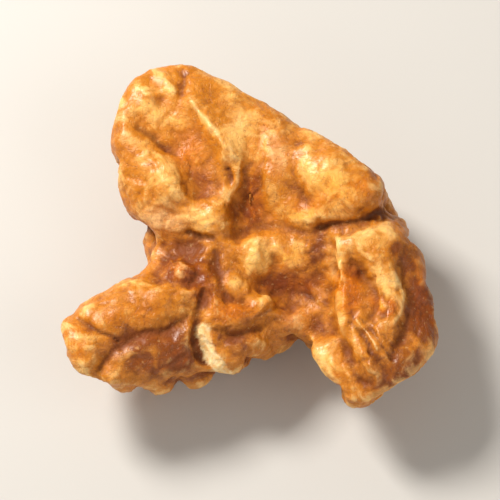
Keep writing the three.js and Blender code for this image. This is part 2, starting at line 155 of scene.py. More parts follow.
LINES: tuple[Line, ...] = (
    Line("curl in the rim", ((-7.1, 11.7), (-6.5, 11.0), (-6.2, 10.0), (-6.6, 9.2)), 0.22, 0.14),
    Line("second curl", ((-7.9, 10.6), (-7.2, 9.9), (-7.3, 8.9), (-7.9, 8.3)), 0.26, 0.12),
    Line("nick in the rim", ((-4.9, 12.2), (-4.7, 11.3), (-4.8, 10.4)), 0.22, 0.15),
    Line("nick beside it", ((-5.6, 12.1), (-5.5, 11.3)), 0.2, 0.1),
    Line("ear crease", ((-7.9, 8.0), (-7.0, 7.5), (-6.2, 6.7), (-5.2, 6.1)), 0.36, 0.3),
    Line("ear crease below", ((-5.2, 6.1), (-4.4, 5.2), (-4.0, 3.8)), 0.34, 0.12),
    Line("ear branch", ((-6.9, 7.3), (-7.3, 6.5), (-8.2, 5.9)), 0.22, 0.1),
    Line("line on the swelling", ((-8.6, 4.5), (-7.5, 4.2), (-6.9, 3.4), (-7.0, 2.4)), 0.24, 0.12),
    Line("short line on the swelling", ((-6.6, 5.4), (-5.9, 4.6), (-6.0, 3.8)), 0.2, 0.09),
    Line("line under the swelling", ((-6.2, 2.3), (-5.2, 1.7), (-4.3, 1.9)), 0.24, 0.12),
    Line("comma pit", ((-1.45, 5.0), (-1.2, 4.6), (-1.3, 4.1)), 0.28, 0.3),
    Line("hollow wrinkle", ((-5.3, 8.9), (-4.6, 7.9), (-4.4, 6.9)), 0.26, 0.07),
    Line("hollow wrinkle below", ((-3.9, 6.6), (-3.3, 5.6), (-3.2, 4.6)), 0.26, 0.09),
    Line("edge of the hollow", ((-4.1, 9.9), (-3.1, 8.6), (-2.1, 7.3), (-1.6, 6.1)), 0.3, -0.16),
    Line("flank line", ((-2.6, 9.9), (-1.4, 8.8), (-0.6, 7.4)), 0.22, 0.06),
    Line("valley line", ((0.9, 8.2), (0.6, 7.0), (0.5, 5.6), (0.3, 4.2), (0.3, 2.6)), 0.3, 0.06),
    Line("pit in the valley", ((0.0, 3.1), (0.3, 2.5), (0.9, 2.3)), 0.6, 0.14),
    Line("shoulder line", ((3.4, 6.8), (3.1, 5.6), (3.4, 4.0), (4.1, 2.9)), 0.3, 0.1),
    Line("shoulder wrinkle", ((1.6, 7.2), (2.0, 5.8), (2.1, 4.4)), 0.22, 0.07),
    Line("crest wrinkle", ((4.7, 5.6), (5.6, 5.0), (6.4, 5.2)), 0.22, 0.06),
    Line("crest dimple", ((6.2, 3.0), (6.8, 3.2), (7.3, 2.8)), 0.25, 0.07),
    Line(
        "crease across the wing",
        ((5.1, 0.8), (6.0, 1.1), (7.2, 1.1), (8.2, 1.4), (9.2, 1.9), (10.3, 2.3)),
        0.32,
        0.34,
    ),
    Line("crest below the crease", ((6.0, 0.1), (7.4, 0.3), (8.8, 0.7), (10.0, 1.1)), 0.4, -0.1),
    Line("crease branch", ((8.4, 1.5), (8.9, 2.2), (9.6, 2.9)), 0.22, 0.1),
    Line("fold line of the wing", ((6.0, 0.0), (7.3, -0.8), (8.6, -1.7), (9.6, -2.1)), 0.24, 0.08),
    Line("upper wing line", ((6.6, -0.3), (8.0, -0.2), (9.4, -0.2), (10.4, -0.9)), 0.22, 0.07),
    Line("first nick in the inner edge", ((5.3, -1.1), (6.3, -1.5)), 0.3, 0.16),
    Line("second nick in the inner edge", ((5.6, -3.7), (6.6, -3.2)), 0.35, 0.18),
    Line("third nick in the inner edge", ((5.8, -5.5), (6.8, -5.9)), 0.3, 0.14),
    Line(
        "inner edge of the wing",
        ((5.7, 0.3), (5.8, -1.6), (6.3, -3.2), (6.2, -5.0), (6.7, -6.8)),
        0.5,
        -0.08,
    ),
    Line(
        "inside of the hook",
        ((7.6, -1.9), (8.4, -3.0), (9.0, -4.0), (8.8, -5.2), (8.1, -6.0)),
        0.3,
        0.22,
    ),
    Line("second hollow of the hook", ((9.5, -4.0), (9.8, -4.7), (9.6, -5.3)), 0.6, 0.3),
    Line("rim of the hook", ((10.2, -2.4), (10.8, -3.6), (10.8, -4.8), (10.2, -5.9)), 0.4, -0.14),
    Line("streak of the fold", ((6.6, -0.4), (7.7, -1.0), (9.0, -1.6)), 0.3, -0.08),
    Line("second streak of the fold", ((6.4, 0.5), (7.8, 0.8), (9.6, 0.9)), 0.3, -0.08),
    Line("crest of the hook", ((8.4, -2.0), (9.3, -2.8), (9.9, -4.2), (9.9, -5.6)), 0.4, -0.05),
    Line("hook branch", ((8.8, -3.8), (9.6, -3.4), (10.4, -3.6)), 0.22, 0.1),
    Line("trough beside the edge", ((6.8, -1.6), (7.1, -3.2), (7.1, -5.0), (7.3, -6.4)), 0.4, 0.07),
    Line("first striation", ((7.1, -5.7), (8.0, -6.8), (8.7, -7.9), (9.5, -9.0)), 0.17, 0.26),
    Line("crest between the striations", ((7.5, -5.7), (8.4, -6.8), (9.1, -7.8)), 0.17, -0.16),
    Line("second striation", ((7.9, -5.6), (8.8, -6.7), (9.5, -7.7), (10.2, -8.5)), 0.17, 0.26),
    Line("third striation", ((8.7, -5.7), (9.4, -6.5), (10.1, -7.4)), 0.16, 0.12),
    Line("beside the outer edge", ((10.8, -1.8), (11.3, -3.6), (11.2, -6.0), (10.5, -7.6)), 0.34, 0.16),
    Line("outer edge wrinkle", ((12.4, -4.6), (11.8, -5.4), (11.9, -6.6), (12.6, -7.4)), 0.24, 0.12),
    Line("wing end wrinkle", ((11.9, -8.6), (10.9, -8.9), (10.4, -9.9), (10.8, -10.8)), 0.26, 0.14),
    Line("line beside the notch fold", ((6.2, -6.6), (6.8, -8.0), (7.4, -9.2), (8.3, -10.6)), 0.34, 0.18),
    Line("edge of the notch fold", ((4.5, -7.3), (5.1, -8.4), (6.0, -9.8), (7.0, -11.2)), 0.36, -0.1),
    Line("line round the germ", ((-2.3, -0.8), (-2.1, -2.6), (-1.5, -4.0), (-0.2, -4.4)), 0.3, 0.2),
    Line("germ socket", ((-0.5, -2.4), (-0.25, -3.0), (-0.6, -3.5)), 0.26, 0.26),
    Line("line above the germ", ((-0.8, 0.5), (1.2, 1.0), (3.2, 0.7), (5.0, 0.4)), 0.3, 0.12),
    Line("line through the collar", ((1.6, 0.4), (1.5, -0.7), (1.9, -1.7)), 0.22, 0.12),
    Line("collar wrinkle", ((2.9, 0.2), (3.0, -0.8), (3.6, -1.6)), 0.22, 0.14),
    Line("bead line", ((4.1, 0.0), (4.1, -0.9), (4.7, -1.5)), 0.24, 0.2),
    Line("pit beside the bead", ((4.6, -1.3), (4.8, -2.2)), 0.3, 0.22),
    Line("foot of the pit", ((0.9, -3.7), (2.2, -4.0), (3.6, -3.8), (4.6, -4.3)), 0.3, 0.2),
    Line("root line", ((-4.4, 0.5), (-3.6, 0.1), (-2.6, 0.1)), 0.34, 0.28),
    Line("root wrinkle", ((-5.9, -0.9), (-5.2, -1.6), (-5.6, -2.4)), 0.25, 0.18),
    Line("second root wrinkle", ((-4.3, -1.4), (-3.7, -2.4), (-4.2, -3.4)), 0.25, 0.18),
    Line("line at the wing root", ((-6.8, -2.5), (-5.0, -3.0), (-3.4, -2.5)), 0.26, 0.14),
    Line("line down the lower middle", ((-3.2, -3.6), (-3.6, -5.0), (-3.8, -6.4)), 0.34, 0.28),
    Line("shadow of the torn edge", ((-3.9, -6.4), (-3.8, -7.6), (-3.2, -8.8)), 0.3, 0.26),
    Line("line across the lower middle", ((-2.4, -6.4), (-1.0, -6.8), (0.9, -6.2)), 0.28, 0.16),
    Line("lower middle wrinkle", ((-2.0, -4.9), (-0.8, -5.4), (0.4, -5.0)), 0.24, 0.12),
    Line("knob wrinkle", ((1.2, -5.2), (2.4, -4.8), (3.6, -5.2), (4.4, -6.2)), 0.26, 0.16),
    Line(
        "groove of the stub",
        ((-4.3, -5.4), (-5.6, -6.3), (-7.6, -6.7), (-9.4, -7.8), (-10.5, -9.2)),
        0.34,
        0.2,
    ),
    Line("nick in the stub", ((-12.1, -5.6), (-11.2, -6.1), (-10.2, -6.7), (-9.2, -7.2)), 0.22, 0.28),
    Line("curl on the stub", ((-9.9, -3.8), (-9.0, -3.5), (-8.4, -3.9)), 0.22, 0.12),
    Line("second curl on the stub", ((-7.4, -4.4), (-6.9, -4.9), (-7.3, -5.5)), 0.24, 0.14),
    Line("stub wrinkle", ((-8.6, -4.2), (-7.6, -5.0), (-6.2, -5.2)), 0.24, 0.07),
    Line("stub lower wrinkle", ((-8.2, -8.4), (-6.6, -8.4), (-5.2, -7.8)), 0.24, 0.09),
    Line("stub end wrinkle", ((-12.9, -8.9), (-11.6, -9.2), (-10.4, -10.0)), 0.24, 0.12),
)

# Zone lightness mixes the skin's own colour with painted light and shade.
ZONES: tuple[Zone, ...] = (
    Zone("rim of the lobe", (-7.2, 10.4), (2.4, 2.2), tone=0.45, blush=0.1),
    Zone("left edge of the lobe", (-9.0, 6.6), (1.2, 3.4), tone=-0.2),
    Zone("top of the lobe", (-3.4, 11.2), (2.4, 1.0), tone=0.1, blush=-0.1, crumple=-0.3),
    Zone("swelling", (-6.1, 4.4), (1.8, 1.6), tone=0.6, crumple=0.3),
    # Partly painted light: this flank is lightened beyond what the lamps give it.
    Zone("flank of the ridge", (-0.5, 8.0), (1.5, 1.9), tone=1.1, blush=0.3, crumple=-0.3),
    Zone("hollow", (-4.3, 7.2), (1.5, 2.2), tone=0.35, blush=-0.4, fill=0.3),
    Zone("lower end of the hollow", (-3.2, 4.2), (0.9, 1.2), tone=-0.35, blush=-0.4),
    # Painted highlight at the lower end of the rim.
    Zone("pale spot on the lower rim", (-3.1, 1.7), (0.9, 0.7), tone=1.2),
    Zone("lower rim", (-6.2, 1.5), (1.9, 1.2), tone=0.6, blush=0.8),
    Zone("upper end of the hollow", (-5.6, 8.8), (1.1, 1.2), tone=0.5, blush=-0.2, fill=0.5),
    Zone("below the ear", (-4.8, 5.6), (0.9, 1.3), tone=0.2, blush=-0.3, fill=0.6),
    Zone("valley", (0.3, 2.6), (1.0, 1.4), tone=-0.3, blush=-0.9, fill=0.8),
    Zone("upper valley", (0.6, 6.0), (0.7, 2.2), tone=0.1, blush=-0.5, fill=0.8),
    Zone("shoulder of the wing", (2.0, 5.6), (1.1, 1.9), tone=0.5, blush=0.9),
    Zone("crest of the wing", (6.0, 4.0), (2.2, 1.4), tone=1.05, blush=-0.5, crumple=-0.3),
    Zone("outer slope of the crest", (8.6, 4.4), (1.0, 1.4), tone=-0.5, blush=-0.2),
    Zone("fold inside the crest", (3.2, 1.7), (1.6, 0.8), tone=0.7, blush=-0.5),
    Zone("fold below the crease", (8.2, -0.2), (2.2, 1.0), tone=0.5, blush=0.2),
    Zone("depression in the lower wing", (7.1, -3.6), (0.9, 1.7), tone=-0.05, blush=-1.0),
    # Painted highlight on the lit ridge of the hook.
    Zone("hook", (9.3, -2.8), (1.0, 0.9), tone=1.4, blush=0.4),
    Zone("inside of the hook", (9.3, -4.6), (0.7, 0.9), tone=0.9, blush=-1.0),
    Zone("striated slope", (9.0, -6.8), (1.4, 1.4), tone=-0.2, blush=0.2),
    # Painted shade on the outer flank, which faces away from the light.
    Zone("outer flank", (12.0, -4.8), (1.2, 3.4), tone=-2.6, blush=-0.6),
    Zone("spot on the outer flank", (12.5, -8.2), (0.5, 0.7), tone=0.6, blush=0.7),
    # Painted shade on the wing end, which faces away from the light.
    Zone("wing end", (10.2, -9.8), (2.0, 1.4), tone=-1.7, blush=-0.4),
    Zone("notch fold", (5.6, -9.0), (1.3, 1.8), tone=0.3, blush=-0.5),
    Zone("germ", (0.8, -1.0), (1.1, 1.1), tone=2.5, blush=-0.1, crumple=0.4),
    Zone("collar", (3.0, -1.0), (1.2, 0.8), tone=0.7, blush=-0.7, crumple=0.5),
    Zone("bead", (4.7, -0.7), (0.6, 0.7), tone=-1.3, blush=0.9, crumple=0.6),
    Zone("pit", (2.8, -3.1), (2.2, 0.9), tone=-0.4, blush=-0.8, crumple=0.3, fill=0.3),
    Zone("knob", (2.9, -5.3), (1.0, 0.8), tone=0.1, blush=0.8, crumple=0.4),
    Zone("round the knob", (3.6, -6.5), (2.0, 1.0), tone=-0.8),
    Zone("lower middle", (-0.9, -5.2), (1.6, 0.9), tone=-0.1, blush=-0.7),
    Zone("tip of the lower middle", (-0.6, -7.4), (1.2, 1.2), tone=-0.8, blush=0.5),
    Zone("left notch", (-4.4, -0.6), (1.5, 0.8), tone=-1.1, blush=-0.4, crumple=0.6),
    Zone("root of the broken wing", (-4.8, -2.2), (1.6, 0.8), tone=-1.2, blush=-0.8, crumple=0.7),
    Zone("slope below the root", (-3.2, -3.8), (1.4, 1.2), tone=-0.7, blush=-0.4, crumple=0.4),
    Zone("side towards the middle", (-4.6, -5.2), (1.4, 1.0), tone=0.5, blush=0.1),
    Zone("top of the stub", (-9.2, -5.4), (3.0, 1.2), tone=-0.1, blush=-0.5, crumple=-0.3),
    Zone("tip of the stub", (-12.4, -7.8), (1.4, 1.6), tone=0.25, blush=-0.6, crumple=-0.5),
    # Painted shade on the stub's lower side, its groove and its root, which face away from the light.
    Zone("lower side of the stub", (-7.0, -8.4), (3.0, 1.3), tone=-1.5, blush=-0.3),
    Zone("groove of the stub", (-7.7, -7.1), (1.4, 0.5), tone=-1.3, blush=-0.3),
    Zone("root of the stub's lower side", (-4.7, -7.8), (0.9, 1.4), tone=-1.3, blush=-0.3),
    # Painted highlight along the inner edge of the wing, which catches the light.
    Zone("inner edge of the wing", (5.9, -1.6), (0.5, 1.8), tone=0.7),
    Zone("lower inner edge", (6.4, -5.0), (0.5, 1.8), tone=0.7),
    Zone("second hollow of the hook", (9.8, -4.7), (0.5, 0.8), tone=-0.6, blush=-0.8),
    # Painted highlight on the rim of the hook.
    Zone("rim of the hook", (10.9, -4.2), (0.5, 1.4), tone=1.1, blush=0.4),
    Zone("light streak on the outer flank", (12.2, -2.7), (0.4, 1.1), tone=1.6, blush=-0.4),
    # Painted shade in a small pit on the upper flank.
    Zone("mark on the upper flank", (10.5, -0.5), (0.4, 0.4), tone=-1.6),
    Zone("rosy spot on the outer flank", (11.5, -6.7), (0.7, 0.7), tone=1.5, blush=0.8),
    Zone("rosy spot on the wing end", (9.9, -9.5), (0.8, 0.6), tone=0.6, blush=0.6),
    # Painted highlight on the edge of the notch fold, which catches the light.
    Zone("edge of the notch fold", (4.9, -8.0), (0.7, 1.1), tone=1.0, blush=0.3),
    Zone("light streak on the crest", (4.1, 5.2), (0.6, 0.9), tone=0.5),
    # Painted highlights on three small beads.
    Zone("bead by the germ", (-0.9, -2.9), (0.45, 0.45), tone=1.2),
    Zone("bead at the pit", (1.0, -4.2), (0.35, 0.35), tone=1.2),
    Zone("bead on the root", (-4.9, -2.1), (0.4, 0.3), tone=1.2),
    Zone("speck in the left notch", (-6.3, -1.0), (0.35, 0.35), tone=0.9, blush=0.9),
)


@dataclass
class SkinMesh:
    """A dense mesh held as arrays, in millimetres."""

    obj: bpy.types.Object
    shrink: float = 0.5
    swell: float = 0.52

    def __post_init__(self) -> None:
        """Reads the vertices and edges of the object's mesh."""
        mesh = self.obj.data
        flat = np.zeros(len(mesh.vertices) * 3, np.float32)
        mesh.vertices.foreach_get("co", flat)
        self.co: Array = flat.reshape(-1, 3).astype(float) / MM
        pairs = np.zeros(len(mesh.edges) * 2, np.int32)
        mesh.edges.foreach_get("vertices", pairs)
        self.edges: Array = pairs.reshape(-1, 2)
        self.valence: Array = np.bincount(pairs, minlength=len(self.co)).clip(1)

    def write(self) -> None:
        """Writes the vertices back into the object's mesh."""
        self.obj.data.vertices.foreach_set("co", (self.co * MM).astype(np.float32).ravel())
        self.obj.data.update()

    def normals(self) -> Array:
        """Reads which way the surface faces.

        Returns:
            The outward unit normal at every vertex.
        """
        self.write()
        flat = np.zeros(len(self.co) * 3, np.float32)
        self.obj.data.vertex_normals.foreach_get("vector", flat)
        return flat.reshape(-1, 3).astype(float)

    def averaged(self, values: Array, rounds: int, share: float = 0.5) -> Array:
        """Spreads values over the mesh.

        Args:
            values: One value or one row for each vertex.
            rounds: How many times each vertex moves towards its neighbours' mean.
            share: How far it moves each time.

        Returns:
            The spread values, in the same shape.
        """
        a, b = self.edges.T
        count = len(self.co)
        out = values.astype(float).reshape(count, -1).copy()
        for _ in range(rounds):
            for k in range(out.shape[1]):
                column = out[:, k]
                total = np.bincount(a, column[b], count) + np.bincount(b, column[a], count)
                out[:, k] = column + share * (total / self.valence - column)
        return out.reshape(values.shape)

    def fair(self, rounds: int) -> None:
        """Evens out the surface without shrinking it.

        Args:
            rounds: How many pairs of a shrinking and a swelling step are made.
        """
        for _ in range(rounds):
            self.co = self.averaged(self.co, 1, self.shrink)
            self.co = self.averaged(self.co, 1, -self.swell)

    def proud(self, *widths: int) -> list[Array]:
        """Tells how far each vertex stands out of its surroundings.

        Args:
            widths: How wide the surroundings are, in rising rounds of spreading.

        Returns:
            For each width the millimetres, above 0 on crests and below 0 in creases.
        """
        normals = self.normals()
        spread = self.co
        done = 0
        heights = []
        for width in widths:
            spread = self.averaged(spread, width - done)
            done = width
            heights.append(np.einsum("ij,ij->i", self.co - spread, normals))
        return heights

    def push(self, heights: Array) -> None:
        """Moves every vertex out along its normal by its height in millimetres."""
        self.co = self.co + self.normals() * heights[:, None]

    def store(self, layer: Layer, values: Array) -> None:
        """Keeps one value per vertex as an attribute that the material reads."""
        attribute = self.obj.data.attributes.new(layer.value, "FLOAT", "POINT")
        attribute.data.foreach_set("value", values.astype(np.float32))


def smoothstep(values: Array, low: float, high: float) -> Array:
    """Returns values that run smoothly from 0 at low to 1 at high."""
    t = np.clip((values - low) / (high - low), 0.0, 1.0)
    return t * t * (3.0 - 2.0 * t)


def path_distance(points: Array, path: tuple[Point2, ...]) -> Array:
    """Measures how far points lie from a broken line.

    Args:
        points: One row [right, up] for each point.
        path: Corners of the line.

    Returns:
        The distance of each point, in millimetres.
    """
    nearest = np.full(len(points), np.inf)
    for start, end in zip(path[:-1], path[1:]):
        a = np.array(start)
        along = np.array(end) - a
        share = np.clip((points - a) @ along / (along @ along), 0.0, 1.0)
        gap = points - a - share[:, None] * along
        nearest = np.minimum(nearest, np.hypot(gap[:, 0], gap[:, 1]))
    return nearest


def rounded_path(path: tuple[Point2, ...], steps: int = 5) -> tuple[Point2, ...]:
    """Rounds the corners of a broken line with a Catmull-Rom curve.

    Args:
        path: Corners of the line.
        steps: Points for each of its stretches.

    Returns:
        Corners of a finer line through the same places.
    """
    if len(path) < 3:
        return path
    known = [np.array(p) for p in (path[0], *path, path[-1])]
    out: list[Point2] = []
    for p0, p1, p2, p3 in zip(known, known[1:], known[2:], known[3:]):
        bend = 2 * p0 - 5 * p1 + 4 * p2 - p3
        turn = 3 * p1 - p0 - 3 * p2 + p3
        for t in np.arange(steps) / steps:
            place = p1 + 0.5 * ((p2 - p0) * t + bend * t**2 + turn * t**3)
            out.append((float(place[0]), float(place[1])))
    out.append(path[-1])
    return tuple(out)


def noise_at(co: Array, cells: float, seed: float) -> Array:
    """Reads noise, from about -1 to 1, with so many cells per millimetre at every point."""
    shift = Vector([way * seed for way in SEED_WAY])
    return np.array([noise.noise(Vector(row) * cells + shift) for row in co])


@dataclass(frozen=True)
class Ripple:
    """One layer of noise: its height, its cells per millimetre and its seed."""

    height: float
    cells: float
    seed: float

    def heights(self, co: Array) -> Array:
        """Returns the layer's height at every point."""
        return self.height * noise_at(co, self.cells, self.seed)


@dataclass(frozen=True)
class Sway:
    """Noise that moves places in the picture plane by a reach in millimetres."""

    reach: float
    cells: float
    seeds: Point2

    def moves(self, co: Array) -> Array:
        """Returns one row [right, up] for each point, in millimetres."""
        return self.reach * np.column_stack([noise_at(co, self.cells, seed) for seed in self.seeds])


@dataclass(frozen=True)
class Furrow:
    """One size of winding furrows, drawn where bent noise changes its sign.

    The depth is in millimetres, the cells are per millimetre, the width is in units of the noise,
    and the bend is the reach of the bending noise in cells.
    """

    depth: float
    cells: float
    width: float
    seed: float
    bend: float = 0.32
    bend_cells: float = 0.6

    def depths(self, co: Array) -> Array:
        """Measures the furrows at every point.

        Args:
            co: Points in millimetres.

        Returns:
            The whole depth on the floor of a furrow, falling towards 0 beside it.
        """
        cells = self.bend_cells * self.cells
        bends = [noise_at(co, cells, self.seed + BEND_SEED * k) for k in range(3)]
        reach = self.bend / self.cells
        value = noise_at(co + reach * np.column_stack(bends), self.cells, self.seed + FURROW_SEED)
        return self.depth * (1 / (1 + (value / self.width) ** 2))


@dataclass(frozen=True)
class Valleys:
    """How valleys are drawn tighter, and filled up in the zones that say so.

    A vertex moves by a share of its height over its near and wide surroundings, between the
    deepest and the highest move. Filling takes a share of its depth below them, up to the most.
    """

    near: float = 0.4
    wide: float = 0.1
    deepest: float = -0.2
    highest: float = 0.14
    fill: float = 0.8
    most: float = 0.7


@dataclass(frozen=True)
class LineCut:
    """How the lines of the inner face are cut.

    At its middle a line has this share of its depth, and full is the depth in millimetres at
    which its painted shade or painted highlight is as strong as it gets.
    """

    share: float = 0.65
    sway: Sway = Sway(0.16, 0.9, (3.0, 8.0))
    mean: float = 0.85
    patches: Ripple = Ripple(0.5, 0.5, 21.0)
    full: float = 0.26


@dataclass(frozen=True)
class Crumple:
    """The small folds and fine wrinkles of the dry skin, stronger in patches and some zones."""

    mean: float = 0.75
    patches: Ripple = Ripple(0.6, 0.16, 31.0)
    zones: float = 0.7
    limits: Point2 = (0.3, 1.5)
    lumps: tuple[Ripple, ...] = (Ripple(0.07, 0.75, 75.0), Ripple(0.03, 1.9, 78.0))
    furrows: tuple[Furrow, ...] = (
        Furrow(0.1, 0.5, 0.09, 40.0),
        Furrow(0.075, 1.1, 0.11, 60.0),
        Furrow(0.05, 2.1, 0.14, 65.0),
    )


@dataclass(frozen=True)
class TornStrip:
    """The strip on the lower middle where the skin is torn off.

    Its path runs in the picture plane, it fades in between two heights, and its flesh lies deeper
    than the skin by the skin's thickness.
    """

    path: tuple[Point2, ...] = ((-3.2, -6.3), (-3.1, -7.3), (-2.7, -8.3), (-2.1, -9.1), (-1.5, -9.7))
    half: float = 0.5
    ragged: tuple[Ripple, ...] = (Ripple(0.2, 1.1, 11.0), Ripple(0.1, 3.0, 12.0))
    edge: float = 0.12
    heights: Point2 = (4.5, 5.2)
    skin: float = 0.06
    grain: tuple[Ripple, ...] = (Ripple(0.05, 2.2, 70.0), Ripple(0.03, 4.6, 71.0))


@dataclass
class Kernel:
    """The walnut kernel: its skin, lines, furrows and torn strip.

    The widths are rounds of spreading, which say how far near, wide and broad surroundings reach.
    The depths are the millimetres below each of them that count as one unit of depth. The inner
    face fades in between two slopes and two heights.
    """

    node: str = "walnut_kernel"
    merge: float = 0.002
    voxel: float = 0.15
    fairing: int = 6
    widths: tuple[int, int, int] = (20, 110, 420)
    depths: Point3 = (0.1, 0.34, 1.6)
    depth_gain: float = 0.6
    depth_rounds: int = 2
    face_slope: Point2 = (-0.05, 0.35)
    face_height: Point2 = (3.2, 4.6)
    zone_falloff: float = 0.9
    zone_sway: Sway = Sway(0.5, 0.35, (90.0, 95.0))
    plane: PicturePlane = PicturePlane()
    valleys: Valleys = Valleys()
    cut: LineCut = LineCut()
    dry: Crumple = Crumple()
    strip: TornStrip = TornStrip()

    def build(self, source: bpy.types.Object) -> bpy.types.Object:
        """Builds the finished piece.

        Args:
            source: The CAD node that the piece stands for.

        Returns:
            The new object, with its place in its mesh.
        """
        obj = self.copy_of(source)
        self.remesh(obj)
        skin = SkinMesh(obj)
        LOG.info("skin mesh: %d vertices", len(skin.co))
        skin.fair(self.fairing)
        self.sharpen(skin)
        line = self.draw_lines(skin)
        self.crumple(skin)
        torn = self.torn(skin)
        self.tear(skin, torn)
        self.rest(skin)
        skin.store(Layer.LINE, line)
        skin.store(Layer.TORN, torn)
        self.paint(skin)
        return obj

    def copy_of(self, source: bpy.types.Object) -> bpy.types.Object:
        """Copies the CAD node and merges its loose triangles.

        Args:
            source: The CAD node.

        Returns:
            A new object with its own mesh.
        """
        bpy.ops.object.select_all(action="DESELECT")
        obj = bpy.data.objects.new("kernel", source.data.copy())
        bpy.context.scene.collection.objects.link(obj)
        obj.select_set(True)
        bpy.context.view_layer.objects.active = obj
        bpy.ops.object.mode_set(mode="EDIT")
        bpy.ops.mesh.select_all(action="SELECT")
        bpy.ops.mesh.remove_doubles(threshold=self.merge * MM)
        bpy.ops.object.mode_set(mode="OBJECT")
        return obj

    def remesh(self, obj: bpy.types.Object) -> None:
        """Gives the copy an even, fine mesh.

        Args:
            obj: The copy.
        """
        modifier = obj.modifiers.new("fine", "REMESH")
        modifier.mode = "VOXEL"
        modifier.voxel_size = self.voxel * MM
        modifier.use_smooth_shade = True
        bpy.ops.object.modifier_apply(modifier=modifier.name)
        obj.data.materials.clear()

    def sharpen(self, skin: SkinMesh) -> None:
        """Draws the valleys between the folds a little tighter and fills some of them up.

        Args:
            skin: The mesh.
        """
        near, wide, broad = skin.proud(*self.widths)
        shape = self.valleys
        tight = np.clip(shape.near * near + shape.wide * wide, shape.deepest, shape.highest)
        filled = np.clip(-shape.fill * wide - shape.fill * broad, 0.0, shape.most)
        share = np.clip(self.zone_sum(skin, Character.FILL), 0.0, 1.0)
        skin.push((1 - share) * tight + share * filled)

    def facing(self, skin: SkinMesh) -> Array:
        """Returns 1 on the inner face and 0 on the domed side, for every vertex."""
        slope = smoothstep(skin.normals()[:, 2], *self.face_slope)
        return slope * smoothstep(skin.co[:, 2], *self.face_height)

    def draw_lines(self, skin: SkinMesh) -> Array:
        """Cuts and raises the lines of the inner face, each a little unsteady.

        Args:
            skin: The mesh.

        Returns:
            For each vertex how much painted shade (above 0) or painted highlight (below 0) the lines give
            it.
        """
        co = skin.co
        places = self.plane.project(co) + self.cut.sway.moves(co)
        uneven = self.cut.mean + self.cut.patches.heights(co)
        sunk = np.zeros(len(co))
        raised = np.zeros(len(co))
        for line in LINES:
            share = path_distance(places, rounded_path(line.path)) / line.half
            shape = self.cut.share / (1 + share**2) ** 3
            if line.depth > 0:
                sunk = np.maximum(sunk, line.depth * shape)
            else:
                raised = np.maximum(raised, -line.depth * shape)
        heights = self.facing(skin) * uneven * (raised - sunk)
        skin.push(heights)
        return np.clip(-heights / self.cut.full, -1.0, 1.0)

    def zone_sum(self, skin: SkinMesh, character: Character) -> Array:
        """Adds up one character of all zones.

        Args:
            skin: The mesh.
            character: Which value of the zones is added.

        Returns:
            One value for each vertex, 0 on the domed side.
        """
        co = skin.co
        places = self.plane.project(co) + self.zone_sway.moves(co)
        total = np.zeros(len(co))
        for zone in ZONES:
            gap = (places - np.array(zone.centre)) / np.array(zone.reach)
            total += getattr(zone, character.value) * np.exp(-self.zone_falloff * (gap**2).sum(1))
        return total * self.facing(skin)

    def crumple(self, skin: SkinMesh) -> None:
        """Adds the small folds and fine wrinkles of the dry skin.

        Args:
            skin: The mesh.
        """
        co = skin.co
        dry = self.dry
        strength = dry.mean + dry.patches.heights(co) + dry.zones * self.zone_sum(skin, Character.CRUMPLE)
        relief = sum(lumps.heights(co) for lumps in dry.lumps)
        for furrow in dry.furrows:
            relief = relief - furrow.depths(co)
        skin.push(np.clip(strength, *dry.limits) * relief)

    def torn(self, skin: SkinMesh) -> Array:
        """Finds where the skin is torn off and pale flesh shows.

        Args:
            skin: The mesh.

        Returns:
            One value for each vertex, 1 on flesh and 0 on skin.
        """
        co = skin.co
        strip = self.strip
        ragged = sum(layer.heights(co) for layer in strip.ragged)
        edge = path_distance(self.plane.project(co), strip.path)
        torn = smoothstep(strip.half - edge + ragged, 0.0, strip.edge)
        return torn * smoothstep(co[:, 2], *strip.heights)

    def tear(self, skin: SkinMesh, torn: Array) -> None:
        """Sinks the torn places by the skin's thickness and makes them granular."""
        grain = sum(layer.heights(skin.co) for layer in self.strip.grain)
        skin.push(torn * (grain - self.strip.skin))

    def rest(self, skin: SkinMesh) -> None:
        """Keeps the kernel inside the CAD part's box and on its resting plane.

        Args:
            skin: The mesh.
        """
        low, high = (np.array(v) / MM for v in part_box(self.node))
        skin.co = np.clip(skin.co, low, high)
        skin.write()

    def paint(self, skin: SkinMesh) -> None:
        """Stores how deep each vertex lies, how light its skin is, painted light and shade included, and
        how rosy.

        Args:
            skin: The mesh.
        """
        depths = [height / unit for height, unit in zip(skin.proud(*self.widths), self.depths)]
        cavity = 0.5 - 0.5 * np.tanh(self.depth_gain * sum(depths))
        skin.store(Layer.CAVITY, skin.averaged(cavity, self.depth_rounds))
        # The zones' lightness holds their own colour and their painted light and shade.
        skin.store(Layer.TONE, self.zone_sum(skin, Character.TONE))
        skin.store(Layer.BLUSH, self.zone_sum(skin, Character.BLUSH))


def srgb(*channels: int) -> Colour:
    """Turns a screen colour into the linear one that Blender's sockets take.

    Args:
        *channels: Red, green and blue from 0 to 255.

    Returns:
        Linear red, green, blue and alpha.
    """
    shares = [channel / 255 for channel in channels]
    linear = [v / 12.92 if v <= 0.04045 else ((v + 0.055) / 1.055) ** 2.4 for v in shares]
    return (*linear, 1.0)


@dataclass(frozen=True)
class Span:
    """How a value is mapped: from low and high onto start and end, smoothly."""

    low: float
    high: float
    start: float = 0.0
    end: float = 1.0

    def inputs(self) -> dict[str, float]:
        """Returns the inputs of a Map Range node."""
        return {"From Min": self.low, "From Max": self.high, "To Min": self.start, "To Max": self.end}


@dataclass(frozen=True)
class Pattern:
    """A noise: cells per millimetre, finer layers, how strong they are, and how it winds."""

    scale: float
    detail: float
    roughness: float = 0.55
    winding: float = 0.0

    def inputs(self) -> dict[str, float]:
        """Returns the inputs of a Noise texture."""
        size = {"Scale": self.scale, "Detail": self.detail}
        return size | {"Roughness": self.roughness, "Distortion": self.winding}


@dataclass(frozen=True)
class Veins:
    """Thin winding veins: cells per millimetre, and width in units of the noise."""

    scale: float
    width: float


